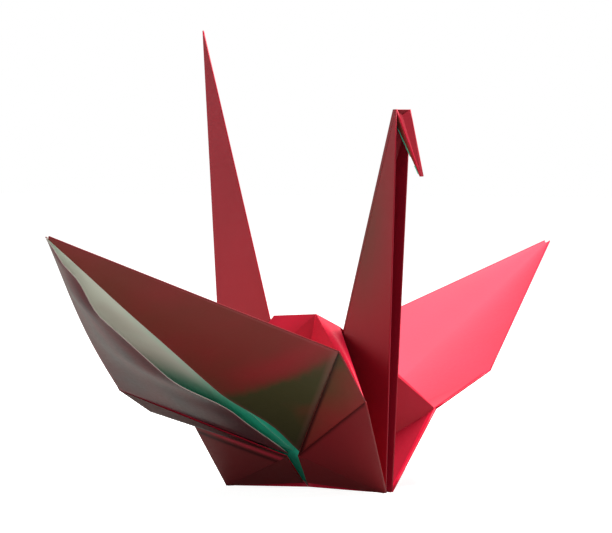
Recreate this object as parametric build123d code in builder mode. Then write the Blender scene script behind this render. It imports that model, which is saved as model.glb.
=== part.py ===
from build123d import *
from math import cos, radians, sin, sqrt, tan
import os

# A crane folded from one square of paper. X runs forward to the neck, Y to the bird's left, Z up.
# Every flap is a leaf of the same sheet, joined to its neighbours along its creases, so the
# whole bird is one solid. All lengths are in mm and all angles in degrees.

# The sheet and its creases. The reverse creases of neck and tail start a little below the
# wing hinge and slope down outward from there.
sheet_side = 150.0
paper = 0.12
corner_angle = 22.5
narrow_angle = corner_angle / 2
reverse_slope = 3.3
reverse_drop = 1.05

# How far the folded layers stand open
keel_spread = 0.95
belly_spread = 0.85
ridge_lift = 0.3
hem_gap = 0.45
hem_lift = 0.4
lip_gap = 1.35
lip_lift = 0.75
slit_gap = 1.9
slit_lift = 1.8
slit_place = 0.5
shoulder_gap = 0.9

# Neck, head and tail
neck_rake = 14.7
tail_rake = 15.4
head_length = 13.25
beak_length = 11.3
beak_drop = 65.0
head_spread = 50.0

# Hump between the wings
hump_height = 27.2
hump_shift = 1.35
neck_shoulder = 25.0
tail_shoulder = 26.5

# Each wing: side, flare of the body below it, forward shift of its root, lift and sweep
right_wing = (-1, 45.5, 0.9, 29.9, -4.6)
left_wing = (1, 58.5, -0.8, 28.0, 6.5)

# Each wing half by side and end: pitch of its blade, then length, rise and splay of the flap edge
halves = {
    (-1, 1): (18.8, 18.8, 51.3, 15.5),
    (-1, -1): (0.4, 13.6, 50.5, 5.0),
    (1, 1): (13.1, 16.1, 49.8, 9.7),
    (1, -1): (9.8, 15.0, 48.0, 5.0),
}

# Layers of paper pressed together in each flap
leg_layers = 4
flap_layers = 4
keel_layers = 3
root_layers = 2

# Radii of the rounded folds, and how many radii a fold ends short of a corner
blade_radius = 1.25 * paper
soft_radius = 0.65 * paper
stack_radius = 4.2 * paper
quill_radius = 2.4 * paper
corner_inset = 2.5

# Points of the flat pattern of one quarter, across and up from the middle of the wing hinge
half_side = sheet_side / 2
wing_slope = tan(radians(corner_angle))
leg_slope = tan(radians(narrow_angle))
keel_across = leg_slope * (half_side - reverse_drop) / (1 + leg_slope * tan(radians(reverse_slope)))
keel_drop = keel_across * tan(radians(reverse_slope))
pinion_up = half_side * (wing_slope - leg_slope) / (wing_slope + leg_slope)
pinion_across = leg_slope * (pinion_up + half_side)
root_up = half_side / cos(radians(corner_angle)) - half_side

# Sizes that follow from the pattern
leg_length = half_side - reverse_drop
jaw_width = head_length * leg_slope
blunt_share = 1 - beak_length / head_length
keel_reach = sqrt(keel_across**2 + keel_drop**2 - keel_spread**2 - ridge_lift**2)

forward = Vector(1, 0, 0)
upward = Vector(0, 0, 1)
foot = Vector(0, 0, ridge_lift)
peak = Vector(hump_shift, 0, hump_height)
rakes = {1: neck_rake, -1: tail_rake}
shoulders = {1: neck_shoulder, -1: tail_shoulder}


def leaf(a, b, c, layers=1):
    """A flat piece of the sheet between three corners, as thick as its pressed layers."""
    plane = Plane(origin=a, x_dir=b - a, z_dir=(b - a).cross(c - a))
    corners = [plane.to_local_coords(point) for point in (a, b, c)]
    with BuildSketch(plane) as outline:
        with BuildLine():
            Polyline(*[(point.X, point.Y) for point in corners], close=True)
        make_face()
    return extrude(outline.sketch, amount=layers * paper / 2, both=True, mode=Mode.PRIVATE)


def crease(a, b, radius):
    """The rounded fold that joins two leaves along their shared edge."""
    along = (b - a).normalized()
    inset = corner_inset * radius
    with BuildSketch(Plane(origin=a + along * inset, z_dir=along)) as section:
        Circle(radius)
    return extrude(section.sketch, amount=(b - a).length - 2 * inset, mode=Mode.PRIVATE)


def level(side, end, angle):
    """Level direction that leans outward from forward or backward by its angle from the side."""
    return Vector(end * sin(radians(angle)), side * cos(radians(angle)), 0)


def climb(direction, angle):
    """A level direction raised by an angle."""
    return direction * cos(radians(angle)) + upward * sin(radians(angle))


def ridge_line(end):
    """Direction of the ridge of the neck or the tail."""
    return climb(forward * end, 90 - rakes[end])


def head_points():
    """Brow, where the head folds down, and the beak's blunt end on its ridge."""
    brow = foot + ridge_line(1) * (leg_length - head_length)
    return brow, brow + climb(forward, -beak_drop) * beak_length


def wing_line(wing):
    """Belly, root and tip of one wing on its centre line, and the direction from root to tip."""
    side, flare, shift, lift, sweep = wing
    up = climb(Vector(0, side, 0), 90 - flare)
    rise = (keel_drop - (belly_spread - keel_spread) * up.Y * side) / up.Z
    belly = Vector(0, side * belly_spread, rise)
    root = belly + up * (root_up + reverse_drop) + forward * shift
    reach = climb(level(side, 1, sweep), lift)
    return belly, root, root + reach * (half_side - root_up), reach


def quarter(wing, end):
    """Leaves and creases of one quarter of the bird, with its half of the neck or the tail."""
    side, flare = wing[:2]
    belly, root, tip, reach = wing_line(wing)
    pitch, edge_length, edge_rise, edge_splay = halves[side, end]

    # The flap edge climbs from the keel to the bend, where the wing blade turns outward
    keel = Vector(end * keel_reach, side * keel_spread, 0)
    bend = keel + climb(level(side, end, edge_splay), edge_rise) * edge_length
    outward = climb(Vector(0, side, 0), -flare)

    # This half of the blade turns about the centre crease by its own pitch
    across = (forward - reach * forward.dot(reach)).normalized()
    above = across.cross(reach) * side
    chord = across * (end * cos(radians(pitch))) + above * sin(radians(pitch))
    pinion = root + reach * (pinion_up - root_up) + chord * pinion_across

    # The under layer of the wing is split along the centre and springs open
    lip = root - above * lip_lift + forward * (end * lip_gap)
    middle = root + (tip - root) * slit_place - above * slit_lift + chord * slit_gap
    hem = belly + forward * (end * hem_gap)
    flap_corner = lip + outward * lip_lift
    flap_hem = hem + outward * hem_lift
    ridge = ridge_line(end)
    shoulder = foot + ridge * (shoulders[end] / ridge.Z) - forward * (end * shoulder_gap)

    pieces = [
        leaf(root, pinion, tip),
        leaf(lip, pinion, middle),
        leaf(middle, pinion, tip),
        leaf(root, bend, pinion),
        leaf(lip, bend, pinion),
        leaf(belly, keel, root),
        leaf(keel, bend, root),
        leaf(hem, keel, lip),
        leaf(keel, bend, lip),
        leaf(flap_hem, keel, flap_corner, flap_layers),
        leaf(keel, bend, flap_corner, flap_layers),
        leaf(flap_corner, bend, pinion, root_layers),
        leaf(root, bend, peak),
        leaf(peak, shoulder, bend),
        leaf(shoulder, foot, bend),
        leaf(foot, keel, bend),
        leaf(hem, keel, foot, keel_layers),
        crease(keel, bend, stack_radius),
        crease(bend, pinion, stack_radius),
        crease(pinion, tip, blade_radius),
        crease(root, bend, blade_radius),
        crease(flap_corner, bend, quill_radius),
        crease(flap_corner, pinion, blade_radius),
        crease(peak, bend, soft_radius),
        crease(foot, bend, soft_radius),
        crease(hem, keel, quill_radius),
        crease(foot, keel, quill_radius),
    ]
    return pieces + (head_half(side, keel) if end > 0 else tail_half(keel))


def head_half(side, keel):
    """One side of the neck and the head."""
    brow, beak = head_points()
    jaw = brow + level(side, 1, 90 - head_spread) * jaw_width
    chin = beak + (jaw - brow) * blunt_share
    return [
        leaf(foot, keel, jaw, leg_layers),
        leaf(foot, jaw, brow, leg_layers),
        leaf(brow, jaw, beak, leg_layers),
        leaf(jaw, chin, beak, leg_layers),
        crease(keel, jaw, quill_radius),
        crease(brow, jaw, quill_radius),
        crease(jaw, chin, quill_radius),
    ]


def tail_half(keel):
    """One side of the tail."""
    quill = foot + ridge_line(-1) * leg_length
    return [leaf(foot, keel, quill, leg_layers), crease(keel, quill, quill_radius)]


def centre_creases(wing):
    """Creases along the centre line of one wing, from the belly to the tip and up to the hump."""
    belly, root, tip, reach = wing_line(wing)
    return [crease(a, b, soft_radius) for a, b in ((belly, root), (root, tip), (root, peak))]


def ridge_creases():
    """Creases along the ridges of the neck, the beak and the tail."""
    brow, beak = head_points()
    quill = foot + ridge_line(-1) * leg_length
    return [crease(a, b, quill_radius) for a, b in ((foot, brow), (brow, beak), (foot, quill))]


with BuildPart() as folded_crane:
    for wing in (right_wing, left_wing):
        for end in (1, -1):
            add(quarter(wing, end))
        add(centre_creases(wing))
    add(ridge_creases())

bounds = folded_crane.part.bounding_box()
stand = Vector(-bounds.center().X, -bounds.center().Y, -bounds.min.Z)
crane = folded_crane.part.moved(Location(stand))
crane.label = "folded_crane"
os.makedirs("parts", exist_ok=True)
export_step(crane, "parts/folded_crane.step")
print("solids", len(crane.solids()), "volume", round(crane.volume, 1), "valid", crane.is_valid)
print("box", bounds.size)
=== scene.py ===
import math
from collections import defaultdict
import bpy
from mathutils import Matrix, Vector


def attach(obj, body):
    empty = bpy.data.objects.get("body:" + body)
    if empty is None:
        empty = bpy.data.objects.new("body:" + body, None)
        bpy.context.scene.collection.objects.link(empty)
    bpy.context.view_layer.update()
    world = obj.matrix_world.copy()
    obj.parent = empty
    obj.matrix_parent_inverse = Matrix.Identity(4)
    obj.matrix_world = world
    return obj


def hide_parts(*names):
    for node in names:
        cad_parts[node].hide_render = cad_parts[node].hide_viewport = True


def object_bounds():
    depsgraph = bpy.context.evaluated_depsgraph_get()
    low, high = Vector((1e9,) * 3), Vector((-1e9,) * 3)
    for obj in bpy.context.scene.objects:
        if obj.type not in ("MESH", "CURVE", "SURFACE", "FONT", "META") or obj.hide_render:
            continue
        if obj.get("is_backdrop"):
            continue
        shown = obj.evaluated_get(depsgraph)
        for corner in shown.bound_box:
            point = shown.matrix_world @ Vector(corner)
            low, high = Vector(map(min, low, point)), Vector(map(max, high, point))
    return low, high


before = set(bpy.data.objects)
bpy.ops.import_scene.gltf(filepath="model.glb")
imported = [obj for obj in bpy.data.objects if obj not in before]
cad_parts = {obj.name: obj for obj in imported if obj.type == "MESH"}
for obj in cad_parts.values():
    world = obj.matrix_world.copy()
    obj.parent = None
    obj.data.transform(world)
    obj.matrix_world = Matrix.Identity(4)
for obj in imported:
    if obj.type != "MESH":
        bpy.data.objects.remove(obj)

cad_low, cad_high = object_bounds()

# All lengths are in metres. The crane's own axes are X forward, Y to its left and Z up.
FORWARD = Vector((1, 0, 0))
UPWARD = Vector((0, 0, 1))

# Sheet and crease pattern
SHEET = 0.150
PAPER = 0.00014
HALF = SHEET / 2
CORNER = math.radians(22.5)
NARROW = math.radians(11.25)
REVERSE_SLOPE = math.radians(3.3)
REVERSE_DROP = 0.00105
LEG_SLOPE = math.tan(NARROW)
WING_SLOPE = math.tan(CORNER)
KEEL_ACROSS = LEG_SLOPE * (HALF - REVERSE_DROP) / (1 + LEG_SLOPE * math.tan(REVERSE_SLOPE))
KEEL_DROP = KEEL_ACROSS * math.tan(REVERSE_SLOPE)
PINION_UP = HALF * (WING_SLOPE - LEG_SLOPE) / (WING_SLOPE + LEG_SLOPE)
PINION_ACROSS = LEG_SLOPE * (PINION_UP + HALF)
ROOT_UP = HALF / math.cos(CORNER) - HALF
LEG = HALF - REVERSE_DROP

# How far the layers stand open
KEEL_SPREAD = 0.00095
BELLY_SPREAD = 0.00085
RIDGE_LIFT = 0.0003
KEEL_REACH = math.sqrt(KEEL_ACROSS ** 2 + KEEL_DROP ** 2 - KEEL_SPREAD ** 2 - RIDGE_LIFT ** 2)
HEM_GAP = 0.00045
FLAP_LIFT = 0.0006
HEM_LIFT = 0.0003
SHOULDER_GAP = 0.0009

# Neck and head, then the hump between the wings
HEAD_LENGTH = 0.01325
BEAK_LENGTH = 0.0113
BEAK_DROP = math.radians(65)
NOTCH_DEPTH = 0.0009
HEAD_SPREAD = math.radians(50)
FOOT = Vector((0, 0, RIDGE_LIFT))
PEAK = Vector((0.00135, 0, 0.0272))

# end: rake of the neck or tail, height of the hump's shoulder on its ridge
LEGS = {1: (14.7, 0.0250), -1: (15.4, 0.0265)}
# side: flare of the body, forward shift of the root, lift, sweep
WINGS = {-1: (45.5, 0.0009, 29.9, -4.6), 1: (58.5, -0.0008, 28.0, 6.5)}
# side, end: pitch of the half wing, flap edge length, its rise and its splay
HALVES = {
    (-1, 1): (18.8, 0.0188, 51.3, 15.5),
    (-1, -1): (0.4, 0.0136, 50.5, 5.0),
    (1, 1): (13.1, 0.0161, 49.8, 9.7),
    (1, -1): (9.8, 0.0150, 48.0, 5.0),
}
# side, end: how the under layer's raw edge springs off the centre crease, in stations of
# (share of the way from tip to root, sideways, downward)
OPENINGS = {
    (-1, 1): [(0, 0, 0.0002), (0.4, 0.0001, 0.0008), (0.68, 0, 0.0009), (0.9, 0.0016, 0.0006),
              (1, 0.0014, 0.0007)],
    (-1, -1): [(0, 0, 0.0004), (0.12, 0.0009, 0.0014), (0.3, 0.0027, 0.0029), (0.56, 0.003, 0.003),
               (0.8, 0.0012, 0.0012), (1, 0.0008, 0.0006)],
    (1, 1): [(0, 0, 0.0002), (0.5, 0.0012, 0.0016), (1, 0.0012, 0.0007)],
    (1, -1): [(0, 0, 0.0002), (0.5, 0.0016, 0.0020), (1, 0.0012, 0.0007)],
}
# side, end: how far the under layer curls down between its edges
CURL = {(-1, 1): 0.0004, (-1, -1): 0.0010, (1, 1): 0.0006, (1, -1): 0.0006}
# The near wing's soft crease leaves the raw edge at this share of the way to the root, and the painted
# olive reflection begins along it
SOFT_CREASE = 0.69
# The near wing's rear flap sags along its outer fold by this much, at this share of the way from
# pinion to bend
FLAP_SAG = 0.0013
FLAP_SAG_PLACE = 0.43
# The rear half of the near wing bellies outward along its folded edge by this much
EDGE_BELLY = 0.00105
# How far the paper between the folds is cushioned
WING_BULGE = 0.0004
HUMP_BULGE = 0.0006
BODY_BULGE = 0.0002
# A triangle begins this share of the way out from its sharp corner, further on the far wing
BLUNT = 0.012
FAR_BLUNT = 0.025

# Radii of the rounded backs of the folds
KEEL_FOLD = 0.00022
PINION_FOLD = 0.00016
NECK_FOLD = 0.00014
THIN_FOLD = 0.00012
HUMP_FOLD = 0.00010
LIP_FOLD = 0.00013

# The near lip of the bent head: where it falls to from the brow, how far its turned edge stands
# off the paper, and the stretches of it that show the reverse
LIP_FALL = Vector((0.0010, -0.0006, -0.0024))
LIP_OFFSET = Vector((-0.00005, -0.00005, -0.0001))
LIP_STRETCHES = ((0.0, 0.6), (0.78, 0.94))

# Material slots, and the names of the washes that each point of the paper carries: a painted
# reflection, olive on the red face and pink on the teal reverse; a painted grey sheen; painted shade;
# paleness, which is rubbing along cut edges and elsewhere a painted sheen; and a painted glow
RED, TEAL, RIM = 0, 1, 2
LABELS = ("warm_reflection", "grey_sheen", "shade", "pale", "glow")
# No painted light or shade at all, then painted shade of growing depth on the rounded backs of folds
NO_PAINTED_LIGHT = (0, 0, 0, 0, 0)
FOLD_SHADE = (0, 0, 0.3, 0, 0)
RIDGE_SHADE = (0, 0, 0.4, 0, 0)
NECK_SHADE = (0, 0, 0.6, 0, 0)
# Least paleness along a sheet's cut border
BORDER_PALE = 0.4
# Strength of the painted glow, an emission that stands in for light showing through the thin paper
# where the glow wash is full
GLOW = 0.10


def tilted(level, angle):
    """A level direction raised by an angle in radians."""
    return level * math.cos(angle) + UPWARD * math.sin(angle)


def sideways(side, end, angle):
    """Level direction that leans from the side toward the front or the back."""
    return Vector((end * math.sin(angle), side * math.cos(angle), 0))


def smooth(low, high, value):
    """Eased step from 0 at low to 1 at high."""
    share = min(max((value - low) / (high - low), 0), 1)
    return share * share * (3 - 2 * share)


def band(value, middle, width):
    """1 at the middle of a soft band, 0 beyond its width."""
    return 1 - smooth(0, width, abs(value - middle))


def opening_at(stations, t):
    """Sideways and downward opening at t, eased between its stations."""
    for low, high in zip(stations, stations[1:]):
        if t <= high[0]:
            share = smooth(low[0], high[0], t)
            return [a + (b - a) * share for a, b in zip(low[1:], high[1:])]
    return stations[-1][1:]


def even(warm_reflection=0.0, grey_sheen=0.0, shade=0.0, pale=0.0):
    """The same wash over a whole patch."""
    return lambda t, w: (warm_reflection, grey_sheen, shade, pale, 0.0)


class Paper:
    """Collects thin two-sided patches of paper into one mesh."""

    def __init__(self):
        self.verts = []
        self.faces = []
        self.mats = []
        self.sharp = set()
        self.paints = []

    def patch(self, grid, toward, thick=PAPER, front=RED, back=TEAL, rim=RIM, paint=even(),
              under=even()):
        """A sheet with the grid's points in its middle. Its front looks toward the given direction."""
        rows, cols = len(grid), len(grid[0])
        across, along = grid[-1][-1] - grid[-1][0], grid[-1][cols // 2] - grid[0][cols // 2]
        flip = along.cross(across).dot(toward) < 0
        start = len(self.verts)
        count = rows * cols
        for sign, wash in ((1, paint), (-1, under)):
            for i in range(rows):
                for j in range(cols):
                    a = grid[min(i + 1, rows - 1)][j] - grid[max(i - 1, 0)][j]
                    b = grid[i][min(j + 1, cols - 1)] - grid[i][max(j - 1, 0)]
                    normal = a.cross(b).normalized() * (-sign if flip else sign)
                    self.verts.append(grid[i][j] + normal * (thick / 2))
                    warm_reflection, grey_sheen, shade, pale, glow = wash(i / (rows - 1), j / (cols - 1))
                    border = rim == RIM and (i == rows - 1 or j in (0, cols - 1))
                    pale = max(pale, BORDER_PALE if border else 0)
                    self.paints.append((warm_reflection, grey_sheen, shade, pale, glow))

        def at(layer, i, j):
            return start + layer * count + i * cols + j

        for i in range(rows - 1):
            for j in range(cols - 1):
                over = (at(0, i, j), at(0, i + 1, j), at(0, i + 1, j + 1), at(0, i, j + 1))
                below = (at(1, i, j), at(1, i, j + 1), at(1, i + 1, j + 1), at(1, i + 1, j))
                self.faces += [over[::-1], below[::-1]] if flip else [over, below]
                self.mats += [front, back]
        loop = [(i, 0) for i in range(rows)] + [(rows - 1, j) for j in range(1, cols)]
        loop += [(i, cols - 1) for i in range(rows - 2, -1, -1)]
        loop += [(0, j) for j in range(cols - 2, 0, -1)]
        for (i, j), (m, n) in zip(loop, loop[1:] + loop[:1]):
            wall = (at(0, i, j), at(1, i, j), at(1, m, n), at(0, m, n))
            self.faces.append(wall[::-1] if flip else wall)
            self.mats.append(rim)
            for layer in (0, 1):
                self.sharp.add(tuple(sorted((at(layer, i, j), at(layer, m, n)))))

    def tri(self, a, b, c, toward, bulge=0.0, steps=12, cols=12, start=BLUNT, hang=None, **options):
        """A triangle that fans out from a to the edge b-c, cushioned by bulge or let to hang."""
        normal = (b - a).cross(c - a).normalized()
        normal = -normal if normal.dot(toward) < 0 else normal
        grid = []
        for i in range(steps + 1):
            t = start + (1 - start) * i / steps
            row = []
            for j in range(cols + 1):
                w = j / cols
                point = a + ((b - a) * (1 - w) + (c - a) * w) * t
                point = point + normal * (bulge * 4 * w * (1 - w) * math.sin(math.pi * t))
                row.append(point + hang(t, w) if hang else point)
            grid.append(row)
        self.patch(grid, toward, **options)

    def rod(self, a, b, radius, mat=RED, wash=FOLD_SHADE, sides=8, steps=6):
        """The rounded back of a fold."""
        along = (b - a).normalized()
        u = along.orthogonal().normalized()
        v = along.cross(u)
        start = len(self.verts)
        for i in range(steps + 1):
            for k in range(sides):
                angle = 2 * math.pi * k / sides
                round_off = (u * math.cos(angle) + v * math.sin(angle)) * radius
                self.verts.append(a + (b - a) * (i / steps) + round_off)
                self.paints.append(wash)
        for i in range(steps):
            for k in range(sides):
                m = (k + 1) % sides
                row = start + i * sides
                self.faces.append((row + k, row + m, row + sides + m, row + sides + k))
                self.mats.append(mat)
        self.faces.append(tuple(start + k for k in reversed(range(sides))))
        self.faces.append(tuple(start + steps * sides + k for k in range(sides)))
        self.mats += [mat, mat]

    def build(self, name, shift):
        """One object from all the patches and rods."""
        mesh = bpy.data.meshes.new(name)
        mesh.from_pydata([tuple(v + shift) for v in self.verts], [], self.faces)
        mesh.polygons.foreach_set("material_index", self.mats)
        mesh.polygons.foreach_set("use_smooth", [True] * len(self.faces))
        for k, label in enumerate(LABELS):
            layer = mesh.attributes.new(label, "FLOAT", "POINT")
            layer.data.foreach_set("value", [paint[k] for paint in self.paints])
        sharp = mesh.attributes.new("sharp_edge", "BOOLEAN", "EDGE")
        sharp.data.foreach_set("value", [tuple(sorted(e.vertices)) in self.sharp for e in mesh.edges])
        mesh.update()
        built = bpy.data.objects.new(name, mesh)
        bpy.context.scene.collection.objects.link(built)
        return built


class Wing:
    """Points and directions that both halves of one wing share."""

    def __init__(self, side):
        flare, shift, lift, sweep = WINGS[side]
        lean = math.radians(flare)
        up = Vector((0, side * math.sin(lean), math.cos(lean)))
        rise = (KEEL_DROP - (BELLY_SPREAD - KEEL_SPREAD) * math.sin(lean)) / math.cos(lean)
        self.side = side
        self.belly = Vector((0, side * BELLY_SPREAD, rise))
        self.root = self.belly + up * (ROOT_UP + REVERSE_DROP) + FORWARD * shift
        self.reach = tilted(sideways(side, 1, math.radians(sweep)), math.radians(lift))
        self.tip = self.root + self.reach * (HALF - ROOT_UP)
        self.across = (FORWARD - self.reach * FORWARD.dot(self.reach)).normalized()
        self.above = self.across.cross(self.reach) * side
        self.outward = Vector((0, side * math.cos(lean), -math.sin(lean)))


class Quarter:
    """Points of one quarter of the bird."""

    def __init__(self, wing, end):
        pitch, edge_length, edge_rise, edge_splay = HALVES[wing.side, end]
        pitch = math.radians(pitch)
        self.end = end
        self.keel = Vector((end * KEEL_REACH, wing.side * KEEL_SPREAD, 0))
        climb = tilted(sideways(wing.side, end, math.radians(edge_splay)), math.radians(edge_rise))
        self.bend = self.keel + climb * edge_length
        self.chord = wing.across * (end * math.cos(pitch)) + wing.above * math.sin(pitch)
        self.pinion = wing.root + wing.reach * (PINION_UP - ROOT_UP) + self.chord * PINION_ACROSS
        self.dip = wing.above * (-math.sin(pitch) * PINION_ACROSS)


def washes(side, end):
    """Painted washes of reflected light and painted shade on the paper of one quarter, by the name of
    its patch.

    Each gives a value for every one of LABELS. It takes t out from the triangle's first corner and
    w across it, unless its arguments are named otherwise, and all of them run from 0 to 1.
    """
    if side > 0:
        # Far side: a painted pink sheen on the wing's top, and painted shade on the hump, the inner
        # faces and the neck and tail
        return {"top": lambda t, w: (0, 0, 0, 0.70 - 0.3 * w, 0), "hump": even(shade=0.25),
                "inner": even(shade=0.12), "low_inner": even(shade=0.5), "leg": even(shade=0.5)}
    # Near side: painted shade on the inner faces, and on the hump, deeper toward the tail
    table = {"inner": even(shade=0.5), "low_inner": even(shade=0.5),
             "hump": even(shade=0.2 if end > 0 else 0.55)}
    if end > 0:
        def blade(t, w):
            """A painted olive reflection beyond the soft crease, with a redder streak of less of it
            just before it, all under painted shade.
            """
            line = SOFT_CREASE + (1 - SOFT_CREASE) * (1 - w)
            olive = smooth(line - 0.01, line + 0.03, t)
            streak = band(t, line - 0.06, 0.08) * smooth(1.0, 0.5, w)
            return 0.42 + 0.10 * w - 0.18 * streak + 0.52 * olive, 0, 0.60 - 0.05 * streak, 0, 0

        def fold(t, w):
            """A painted olive reflection, and painted shade that deepens along the edge that it shares
            with the wing.
            """
            return 0.95, 0, 0.5 + 0.5 * smooth(0.95, 1.0, 1 - t * (1 - w)), 0, 0

        def turned(near_pinion, near_crease):
            """More painted olive reflection toward the pinion, and painted shade that deepens along
            the crease under the wing.
            """
            return 0.35 + 0.6 * near_pinion, 0, 0.55 + 0.45 * smooth(0.9, 0.97, near_crease), 0, 0

        def body(t, w):
            """Even painted reflection and painted shade, the shade deepening under the flap's edge."""
            return 0.22, 0.05, 0.68 + 0.32 * smooth(0.95, 1.0, t), 0, 0

        def leg(height, outer):
            """A streak of painted olive reflection on the upper part of the neck, all under painted
            shade.
            """
            streak = band(height, 0.68, 0.32) * band(outer, 0.62, 0.5)
            return 0.06 + 0.6 * streak, 0, 0.62, 0, 0

        return {**table, "blade": blade, "fold": fold, "turned": turned, "body": body, "leg": leg}

    def blade(t, w):
        """A painted grey sheen in slow waves with a little painted olive reflection, under painted
        shade.
        """
        return 0.10, 0.72 + 0.08 * math.sin(19 * w + 5 * t), 0.72, 0, 0

    def body(t, w):
        """A lighter strip between two bands of painted shadow under the flap's edge, the rest under
        painted shade with a little painted reflection.
        """
        strip = band(t, 0.93, 0.05) * smooth(0.0, 0.3, 1 - w)
        groove_shadow = band(t, 0.85, 0.05) + smooth(0.965, 1.0, t)
        return 0.3 * (1 - strip), 0.2, min(0.70 + 0.30 * groove_shadow, 1) - 0.45 * strip, 0, 0

    def lens(t, w):
        """Pale light on the reverse inside the slit, pink away from the centre crease."""
        depth = w * t * PINION_ACROSS
        fade = 1 - smooth(0.55, 0.86, t)
        pink = smooth(0.0014, 0.0034, depth) * fade
        return 0.85 * pink, 0.98 * fade, 0, 0, 0.25 + 0.75 * fade

    def lining(t, w):
        """The same light on the under layer's inner face, counted from its raw edge."""
        return lens(t, 1.4 * (1 - w) + 0.12)

    # The rear flap and its fold under full painted shade with a painted grey sheen, the tail under
    # painted shade
    return {**table, "blade": blade, "fold": even(grey_sheen=0.25, shade=1.0), "body": body, "lens": lens,
            "turned": even(grey_sheen=0.1, shade=1.0), "leg": even(shade=0.55), "lining": lining}


def lay_wing(paper, wing, part, wash):
    """One half of a wing: the whole upper layer and the split, sprung under layer."""
    soft = wing.side > 0
    end = part.end
    start = FAR_BLUNT if soft else BLUNT
    bellies = (wing.side, end) == (-1, -1)

    def sag(t, w):
        """Offset of the wing's paper at t from tip to root and w from centre to edge."""
        if soft:
            return part.dip * (t * (1 - t ** 3) * w * (1 - w))
        return part.chord * (EDGE_BELLY * w * math.sin(math.pi * t ** 1.3)) if bellies else Vector()

    paper.tri(wing.tip, wing.root, part.pinion, wing.above, steps=24, cols=40, hang=sag, start=start,
              bulge=0 if soft else WING_BULGE, paint=wash["top"], under=wash["lens"])
    steps = 36
    grid = []
    for i in range(steps + 1):
        t = start + (1 - start) * i / steps
        lateral, drop = opening_at(OPENINGS[wing.side, end], t)
        outer = wing.tip + (part.pinion - wing.tip) * t
        inner = wing.tip + (wing.root - wing.tip) * t + part.chord * lateral - wing.above * drop
        row = []
        for j in range(steps + 1):
            w = j / steps
            curl = CURL[wing.side, end] * math.sin(math.pi * w) * math.sin(math.pi * t)
            row.append(outer + (inner - outer) * w - wing.above * curl + sag(t, 1 - w))
        grid.append(row)
    paper.patch(grid, -wing.above, rim=RED if soft else RIM, paint=wash["blade"], under=wash["lining"])
    # The folded outer edge takes the painted reflection and shade of the body's first corner
    paper.rod(part.pinion, wing.tip + (part.pinion - wing.tip) * start, THIN_FOLD,
              wash=wash["body"](0, 0))
    return grid[-1][-1]


def lay_body(paper, wing, part, lip, wash):
    """The root of the wing, the flap folded over it and the body panels below."""
    side, end, root = wing.side, part.end, wing.root
    bend, pinion, keel = part.bend, part.pinion, part.keel
    hem = wing.belly + FORWARD * (end * HEM_GAP)
    corner = lip + wing.outward * FLAP_LIFT
    skirt = hem + wing.outward * HEM_LIFT
    hangs = (side, end) == (-1, -1)

    def hang(t, w):
        """The sag of the flap at t out to its fold and w from pinion to bend."""
        away = min(w / FLAP_SAG_PLACE, (1 - w) / (1 - FLAP_SAG_PLACE))
        return Vector((0, 0, -FLAP_SAG * t * away)) if hangs else Vector()

    paper.tri(root, bend, pinion, wing.above, rim=RED, paint=wash["top"])
    paper.tri(lip, bend, pinion, -wing.above, rim=RED, paint=wash["fold"])
    paper.tri(root, bend, PEAK, Vector((0, side, 0.5)), rim=RED, bulge=HUMP_BULGE,
              paint=wash["hump"])
    paper.tri(corner, pinion, bend, wing.outward, thick=2 * PAPER, back=RED, rim=RED, steps=20,
              hang=hang, paint=lambda t, w: wash["turned"](t * (1 - w), 1 - w * t))
    paper.tri(keel, corner, bend, wing.outward, thick=3 * PAPER, back=RED, rim=RED, steps=60,
              bulge=BODY_BULGE, paint=wash["body"])
    paper.tri(keel, skirt, corner, wing.outward, thick=3 * PAPER, back=RED, rim=RED,
              paint=lambda t, w: wash["body"](0.5 * t, w))
    lining = TEAL if side < 0 else RED
    paper.tri(wing.belly, keel, root, wing.outward, front=lining, back=RED, rim=lining)
    paper.tri(keel, bend, root, wing.outward, front=lining, back=RED, rim=RED)
    paper.tri(keel, hem, FOOT, -UPWARD, thick=2 * PAPER)
    # The rounded backs of the keel and flap folds take the painted reflection and shade of the body's
    # first corner
    dark = wash["body"](0, 0)
    paper.rod(keel, bend, KEEL_FOLD, wash=dark)
    paper.rod(bend, pinion, PINION_FOLD, wash=dark)


def lay_hump(paper, wing, part, wash):
    """The hump's panels, and the inner face of the body beside the neck or the tail."""
    end = part.end
    rake, shoulder_up = LEGS[end]
    ridge = tilted(FORWARD * end, math.pi / 2 - math.radians(rake))
    shoulder = FOOT + ridge * (shoulder_up / ridge.z) - FORWARD * (end * SHOULDER_GAP)
    inward = Vector((0, -wing.side, 1))
    paper.tri(part.bend, PEAK, shoulder, Vector((end, 0, 1)), rim=RED, bulge=HUMP_BULGE,
              paint=wash["hump"])
    paper.tri(part.bend, shoulder, FOOT, inward, rim=RED, paint=wash["inner"])
    paper.tri(part.keel, part.bend, FOOT, inward, back=RED, rim=RED, paint=wash["low_inner"])
    return ridge


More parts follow.
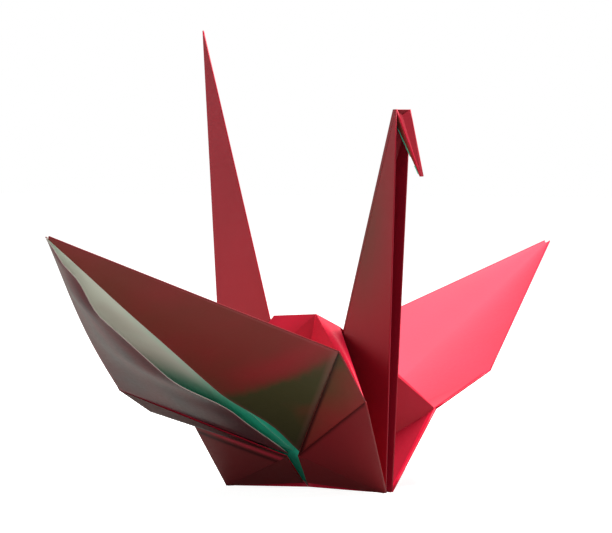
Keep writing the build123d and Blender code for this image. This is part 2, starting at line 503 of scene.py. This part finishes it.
def lay_head(paper, wing, part, ridge, wash):
    """One side of the neck and the head, with the reverse showing along the near lip."""
    brow = FOOT + ridge * (LEG - HEAD_LENGTH)
    beak = brow + tilted(FORWARD, -BEAK_DROP) * BEAK_LENGTH
    jaw = brow + sideways(wing.side, 1, math.pi / 2 - HEAD_SPREAD) * (HEAD_LENGTH * LEG_SLOPE)
    chin = beak + (jaw - brow) * (1 - BEAK_LENGTH / HEAD_LENGTH)
    shell = {"thick": 2 * PAPER, "back": RED, "rim": RED}
    leg = wash["leg"]
    # The neck: painted reflection and shade from the leg wash outside, painted shade inside
    paper.tri(FOOT, part.keel, jaw, wing.outward, paint=lambda t, w: leg(t * w, t),
              under=even(shade=0.6), **shell)
    paper.tri(FOOT, jaw, brow, wing.outward, paint=lambda t, w: leg(t, 1 - w),
              under=even(shade=0.6), **shell)
    notch = (brow + jaw) / 2 - UPWARD * (NOTCH_DEPTH if wing.side > 0 else 0)
    # The head: a painted olive reflection under painted shade, painted shade inside
    for corners in ((beak, brow, notch), (beak, notch, jaw), (jaw, chin, beak)):
        paper.tri(*corners, wing.outward, paint=even(0.35, 0, 0.5), under=even(shade=0.65), **shell)
    paper.rod(part.keel, jaw, NECK_FOLD, wash=NECK_SHADE)
    paper.rod(jaw, chin, NECK_FOLD)
    if wing.side < 0:
        fall = brow + LIP_FALL
        # The near lip: a painted olive reflection under painted shade
        paper.tri(beak, jaw, fall, wing.outward, thick=2 * PAPER, back=TEAL, paint=even(0.5, 0, 0.4))
        for low, high in LIP_STRETCHES:
            first = fall + (beak - fall) * low + LIP_OFFSET
            last = fall + (beak - fall) * high + LIP_OFFSET
            paper.rod(first, last, LIP_FOLD, mat=TEAL, wash=NO_PAINTED_LIGHT)
    return brow, beak


paper = Paper()
for side in WINGS:
    wing = Wing(side)
    for end in (1, -1):
        part = Quarter(wing, end)
        wash = defaultdict(even, washes(side, end))
        lip = lay_wing(paper, wing, part, wash)
        lay_body(paper, wing, part, lip, wash)
        ridge = lay_hump(paper, wing, part, wash)
        if end > 0:
            brow, beak = lay_head(paper, wing, part, ridge, wash)
        else:
            quill = FOOT + ridge * LEG
            # The tail: painted shade from the leg wash
            paper.tri(quill, FOOT, part.keel, wing.outward, thick=2 * PAPER, back=RED, rim=RED,
                      paint=wash["leg"])
            paper.rod(part.keel, quill, THIN_FOLD, wash=RIDGE_SHADE)
    paper.rod(wing.root, PEAK, HUMP_FOLD)
paper.rod(FOOT, brow, NECK_FOLD, wash=RIDGE_SHADE)
paper.rod(brow, beak, NECK_FOLD)
paper.rod(FOOT, quill, THIN_FOLD, wash=RIDGE_SHADE)

# Stand the mesh where the CAD model stands
low = Vector([min(v[k] for v in paper.verts) for k in range(3)])
high = Vector([max(v[k] for v in paper.verts) for k in range(3)])
stand = (cad_low + cad_high) / 2 - (low + high) / 2
stand.z = cad_low.z - low.z
crane = paper.build("folded_crane_paper", stand)


def material(name):
    """A new node material and its shader."""
    mat = bpy.data.materials.new(name)
    mat.use_nodes = True
    return mat, mat.node_tree.nodes, mat.node_tree.links, mat.node_tree.nodes["Principled BSDF"]


def noise(nodes, links, coords, scale, detail):
    """A noise texture on the object's own coordinates."""
    texture = nodes.new("ShaderNodeTexNoise")
    texture.inputs["Scale"].default_value = scale
    texture.inputs["Detail"].default_value = detail
    links.new(coords.outputs["Object"], texture.inputs["Vector"])
    return texture.outputs["Fac"]


def blend(nodes, links, factor, under, color, mode="MIX"):
    """The colour below mixed toward another by a factor socket."""
    mix = nodes.new("ShaderNodeMix")
    mix.data_type = "RGBA"
    mix.blend_type = mode
    links.new(factor, mix.inputs[0])
    links.new(under, mix.inputs[6])
    mix.inputs[7].default_value = (*color, 1)
    return mix.outputs[2]


def scaled(nodes, links, value, low, high):
    """A 0 to 1 socket mapped to a new range."""
    span = nodes.new("ShaderNodeMapRange")
    span.inputs["To Min"].default_value = low
    span.inputs["To Max"].default_value = high
    links.new(value, span.inputs["Value"])
    return span.outputs["Result"]


def product(nodes, links, a, b):
    """Two sockets multiplied and kept within 0 and 1."""
    node = nodes.new("ShaderNodeMath")
    node.operation = "MULTIPLY"
    node.use_clamp = True
    links.new(a, node.inputs[0])
    links.new(b, node.inputs[1])
    return node.outputs[0]


def paper_look(name, dark, light, rough, warm_reflection, grey_sheen, shade, worn_and_sheen):
    """Satin folding paper: blotches, fibre grain, painted reflections and painted shade, paleness
    along rubbed cut edges and from a painted sheen, and a painted glow.
    """
    mat, nodes, links, shader = material(name)
    coords = nodes.new("ShaderNodeTexCoord")
    values = {}
    for label in LABELS:
        reader = nodes.new("ShaderNodeAttribute")
        reader.attribute_name = label
        values[label] = reader.outputs["Fac"]
    blotch = noise(nodes, links, coords, scale=55, detail=4)
    streak = noise(nodes, links, coords, scale=120, detail=2)
    streak = scaled(nodes, links, streak, low=0.6, high=1.35)
    base = nodes.new("ShaderNodeRGB")
    base.outputs[0].default_value = (*dark, 1)
    color = blend(nodes, links, blotch, base.outputs[0], light)
    # Painted reflections in streaks: olive or pink, and a grey sheen
    color = blend(nodes, links, product(nodes, links, values["warm_reflection"], streak), color, warm_reflection)
    color = blend(nodes, links, product(nodes, links, values["grey_sheen"], streak), color, grey_sheen)
    # Painted shade
    color = blend(nodes, links, values["shade"], color, shade, "MULTIPLY")
    # Paleness: rubbed cut edges, and a painted sheen where the pale wash covers whole faces
    wear_and_sheen = scaled(nodes, links, values["pale"], low=0, high=0.28)
    color = blend(nodes, links, wear_and_sheen, color, worn_and_sheen)
    links.new(color, shader.inputs["Base Color"])
    # Painted glow: the colour is emitted where the glow wash is laid, in place of light that shows
    # through the paper
    links.new(color, shader.inputs["Emission Color"])
    glow = scaled(nodes, links, values["glow"], low=0, high=GLOW)
    links.new(glow, shader.inputs["Emission Strength"])
    grain = noise(nodes, links, coords, scale=1800, detail=3)
    roughness = scaled(nodes, links, grain, low=rough - 0.06, high=rough + 0.08)
    links.new(roughness, shader.inputs["Roughness"])
    shader.inputs["Specular IOR Level"].default_value = 0.2
    bump = nodes.new("ShaderNodeBump")
    bump.inputs["Strength"].default_value = 0.25
    bump.inputs["Distance"].default_value = 0.00004
    links.new(grain, bump.inputs["Height"])
    links.new(bump.outputs["Normal"], shader.inputs["Normal"])
    return mat


# Each paper's own dark and light colours and roughness, then the colours of its painted reflection,
# painted grey sheen and painted shade, and of its rubbed edges and painted sheen
looks = [
    paper_look("red_face", (0.46, 0.004, 0.022), (0.66, 0.012, 0.05), 0.44,
               warm_reflection=(0.10, 0.085, 0.030), grey_sheen=(0.13, 0.08, 0.095), shade=(0.12, 0.05, 0.08),
               worn_and_sheen=(0.85, 0.25, 0.30)),
    paper_look("teal_reverse", (0.02, 0.42, 0.28), (0.05, 0.58, 0.40), 0.5,
               warm_reflection=(0.62, 0.16, 0.20), grey_sheen=(0.66, 0.64, 0.58), shade=(0.3, 0.3, 0.3),
               worn_and_sheen=(0.4, 0.8, 0.7)),
    paper_look("cut_edge", (0.62, 0.36, 0.36), (0.75, 0.5, 0.5), 0.6,
               warm_reflection=(0.6, 0.5, 0.4), grey_sheen=(0.6, 0.5, 0.5), shade=(0.3, 0.2, 0.2),
               worn_and_sheen=(0.8, 0.6, 0.6)),
]
for look in looks:
    crane.data.materials.append(look)
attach(crane, "root")
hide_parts("folded_crane")

# A floor that the camera sees as white, and that sends only a little light back up
FLOOR_REACH = 3.0
floor_mesh = bpy.data.meshes.new("floor")
corners = [(-1, -1), (1, -1), (1, 1), (-1, 1)]
floor_mesh.from_pydata([(x * FLOOR_REACH, y * FLOOR_REACH, 0) for x, y in corners], [], [(0, 1, 2, 3)])
floor = bpy.data.objects.new("floor", floor_mesh)
bpy.context.scene.collection.objects.link(floor)
mat, nodes, links, shader = material("floor_white")
shader.inputs["Roughness"].default_value = 0.9
paths = nodes.new("ShaderNodeLightPath")
bounce = nodes.new("ShaderNodeRGB")
bounce.outputs[0].default_value = (0.34, 0.38, 0.35, 1)
seen = paths.outputs["Is Camera Ray"]
links.new(blend(nodes, links, seen, bounce.outputs[0], (0.5, 0.5, 0.5)), shader.inputs["Base Color"])
shader.inputs["Emission Color"].default_value = (1, 1, 1, 1)
links.new(scaled(nodes, links, seen, low=0, high=0.90), shader.inputs["Emission Strength"])
floor_mesh.materials.append(mat)
floor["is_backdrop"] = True

# Soft light from all around, behind a background that the camera sees as white
world = bpy.data.worlds.new("studio")
bpy.context.scene.world = world
world.use_nodes = True
nodes, links = world.node_tree.nodes, world.node_tree.links
soft_light = nodes["Background"]
soft_light.inputs["Color"].default_value = (0.78, 0.90, 0.84, 1)
soft_light.inputs["Strength"].default_value = 0.30
white = nodes.new("ShaderNodeBackground")
white.inputs["Color"].default_value = (1, 1, 1, 1)
white.inputs["Strength"].default_value = 1.0
paths = nodes.new("ShaderNodeLightPath")
mix = nodes.new("ShaderNodeMixShader")
links.new(paths.outputs["Is Camera Ray"], mix.inputs[0])
links.new(soft_light.outputs[0], mix.inputs[1])
links.new(white.outputs[0], mix.inputs[2])
links.new(mix.outputs[0], nodes["World Output"].inputs["Surface"])


LAMP_AIM = Vector((0, 0, 0.03))


def area(name, place, size, power, color):
    """A square lamp that looks at the crane."""
    light = bpy.data.lights.new(name, "AREA")
    light.size = size
    light.energy = power
    light.color = color
    lamp = bpy.data.objects.new(name, light)
    lamp.location = place
    lamp.rotation_euler = (LAMP_AIM - Vector(place)).to_track_quat("-Z", "Y").to_euler()
    bpy.context.scene.collection.objects.link(lamp)


area("key_above", (0.22, 0.16, 0.75), size=0.40, power=20.0, color=(1, 0.97, 0.95))
area("fill_left", (-0.45, -0.60, 0.06), size=0.5, power=4.0, color=(0.90, 1.0, 0.94))

# A long lens, low down beyond the near wing and turned toward the front. The point that it looks
# at is given in sheets, above the foot and to the picture's left of it.
AZIMUTH = math.radians(31.9)
ELEVATION = math.radians(1.66)
DISTANCE = 4.55 * SHEET
AIM_UP = 0.2308
AIM_LEFT = 0.0028
scene = bpy.context.scene
scene.view_settings.view_transform = "Standard"
camera_data = bpy.data.cameras.new("camera")
camera_data.sensor_width = 36
camera_data.lens = 257.5
camera = bpy.data.objects.new("camera", camera_data)
scene.collection.objects.link(camera)
level_back = Vector((math.sin(AZIMUTH), -math.cos(AZIMUTH), 0))
back = tilted(level_back, ELEVATION)
level_right = Vector((math.cos(AZIMUTH), math.sin(AZIMUTH), 0))
aim = (UPWARD * AIM_UP - level_right * AIM_LEFT) * SHEET + stand
camera.location = aim + back * DISTANCE
camera.rotation_euler = (-back).to_track_quat("-Z", "Y").to_euler()
scene.camera = camera

low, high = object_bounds()
